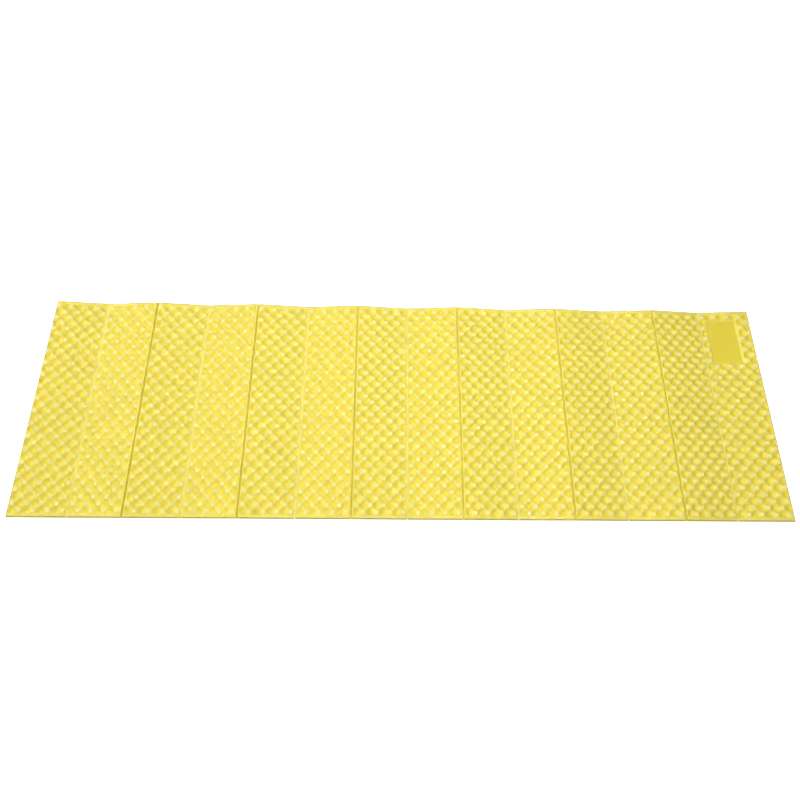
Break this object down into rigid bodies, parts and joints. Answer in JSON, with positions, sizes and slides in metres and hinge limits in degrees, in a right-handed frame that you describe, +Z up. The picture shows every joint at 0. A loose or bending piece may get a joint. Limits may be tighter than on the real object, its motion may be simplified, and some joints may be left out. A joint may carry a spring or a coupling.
{
  "type": "folding foam sleeping pad",
  "caption": "Concertina foam sleeping pad: egg-crate panels joined by thin pressed creases, part opened in a low zigzag, with a blank label on the end panel.",
  "frame": {"origin": "centre of the bounding box's bottom face, on the floor under the centre crease", "axes": "+X along the pad from the plain end towards the end with the label, +Y across the pad from the front edge to the rear edge, +Z up"},
  "size_m": [1.83, 0.51, 0.0348],
  "materials": {
    "foam_top": "matte",
    "foam_base": "matte",
    "foam_crease": "matte",
    "label": "matte"
  },
  "bodies": {
    "centre_crease": {"crease_web_07": "foam_crease"},
    "panel_01": {"panel_01_top": "foam_top", "panel_01_base": "foam_base"},
    "panel_02": {"panel_02_top": "foam_top", "panel_02_base": "foam_base", "crease_web_01": "foam_crease"},
    "panel_03": {"panel_03_top": "foam_top", "panel_03_base": "foam_base", "crease_web_02": "foam_crease"},
    "panel_04": {"panel_04_top": "foam_top", "panel_04_base": "foam_base", "crease_web_03": "foam_crease"},
    "panel_05": {"panel_05_top": "foam_top", "panel_05_base": "foam_base", "crease_web_04": "foam_crease"},
    "panel_06": {"panel_06_top": "foam_top", "panel_06_base": "foam_base", "crease_web_05": "foam_crease"},
    "panel_07": {"panel_07_top": "foam_top", "panel_07_base": "foam_base", "crease_web_06": "foam_crease"},
    "panel_08": {"panel_08_top": "foam_top", "panel_08_base": "foam_base", "crease_web_08": "foam_crease"},
    "panel_09": {"panel_09_top": "foam_top", "panel_09_base": "foam_base", "crease_web_09": "foam_crease"},
    "panel_10": {"panel_10_top": "foam_top", "panel_10_base": "foam_base", "crease_web_10": "foam_crease"},
    "panel_11": {"panel_11_top": "foam_top", "panel_11_base": "foam_base", "crease_web_11": "foam_crease"},
    "panel_12": {"panel_12_top": "foam_top", "panel_12_base": "foam_base", "crease_web_12": "foam_crease"},
    "panel_13": {"panel_13_top": "foam_top", "panel_13_base": "foam_base", "crease_web_13": "foam_crease"},
    "panel_14": {"panel_14_top": "foam_top", "panel_14_base": "foam_base", "blank_label": "label"}
  },
  "joints": [
    {"name": "crease_07_left", "type": "hinge", "parent": "centre_crease", "child": "panel_07", "pos_m": [0, 0, 0.01326], "axis": [0, 1, 0], "range_deg": [-8, 82]},
    {"name": "crease_07_right", "type": "hinge", "parent": "centre_crease", "child": "panel_08", "pos_m": [0, 0, 0.01326], "axis": [0, -1, 0], "range_deg": [-8, 82]},
    {"name": "crease_06", "type": "hinge", "parent": "panel_07", "child": "panel_06", "pos_m": [-0.13083, 0, 0.02155], "axis": [0, -1, 0], "range_deg": [-16, 164], "deforming": ["crease_web_06"]},
    {"name": "crease_05", "type": "hinge", "parent": "panel_06", "child": "panel_05", "pos_m": [-0.26167, 0, 0.01326], "axis": [0, 1, 0], "range_deg": [-16, 164], "deforming": ["crease_web_05"]},
    {"name": "crease_04", "type": "hinge", "parent": "panel_05", "child": "panel_04", "pos_m": [-0.3925, 0, 0.02155], "axis": [0, -1, 0], "range_deg": [-16, 164], "deforming": ["crease_web_04"]},
    {"name": "crease_03", "type": "hinge", "parent": "panel_04", "child": "panel_03", "pos_m": [-0.52334, 0, 0.01326], "axis": [0, 1, 0], "range_deg": [-16, 164], "deforming": ["crease_web_03"]},
    {"name": "crease_02", "type": "hinge", "parent": "panel_03", "child": "panel_02", "pos_m": [-0.65417, 0, 0.02155], "axis": [0, -1, 0], "range_deg": [-16, 164], "deforming": ["crease_web_02"]},
    {"name": "crease_01", "type": "hinge", "parent": "panel_02", "child": "panel_01", "pos_m": [-0.785, 0, 0.01326], "axis": [0, 1, 0], "range_deg": [-16, 164], "deforming": ["crease_web_01"]},
    {"name": "crease_08", "type": "hinge", "parent": "panel_08", "child": "panel_09", "pos_m": [0.13083, 0, 0.02155], "axis": [0, 1, 0], "range_deg": [-16, 164], "deforming": ["crease_web_08"]},
    {"name": "crease_09", "type": "hinge", "parent": "panel_09", "child": "panel_10", "pos_m": [0.26167, 0, 0.01326], "axis": [0, -1, 0], "range_deg": [-16, 164], "deforming": ["crease_web_09"]},
    {"name": "crease_10", "type": "hinge", "parent": "panel_10", "child": "panel_11", "pos_m": [0.3925, 0, 0.02155], "axis": [0, 1, 0], "range_deg": [-16, 164], "deforming": ["crease_web_10"]},
    {"name": "crease_11", "type": "hinge", "parent": "panel_11", "child": "panel_12", "pos_m": [0.52334, 0, 0.01326], "axis": [0, -1, 0], "range_deg": [-16, 164], "deforming": ["crease_web_11"]},
    {"name": "crease_12", "type": "hinge", "parent": "panel_12", "child": "panel_13", "pos_m": [0.65417, 0, 0.02155], "axis": [0, 1, 0], "range_deg": [-16, 164], "deforming": ["crease_web_12"]},
    {"name": "crease_13", "type": "hinge", "parent": "panel_13", "child": "panel_14", "pos_m": [0.785, 0, 0.01326], "axis": [0, -1, 0], "range_deg": [-16, 164], "deforming": ["crease_web_13"]}
  ],
  "couplings": [
    {"joint": "crease_07_right", "follows": "crease_07_left", "ratio": 1}
  ]
}
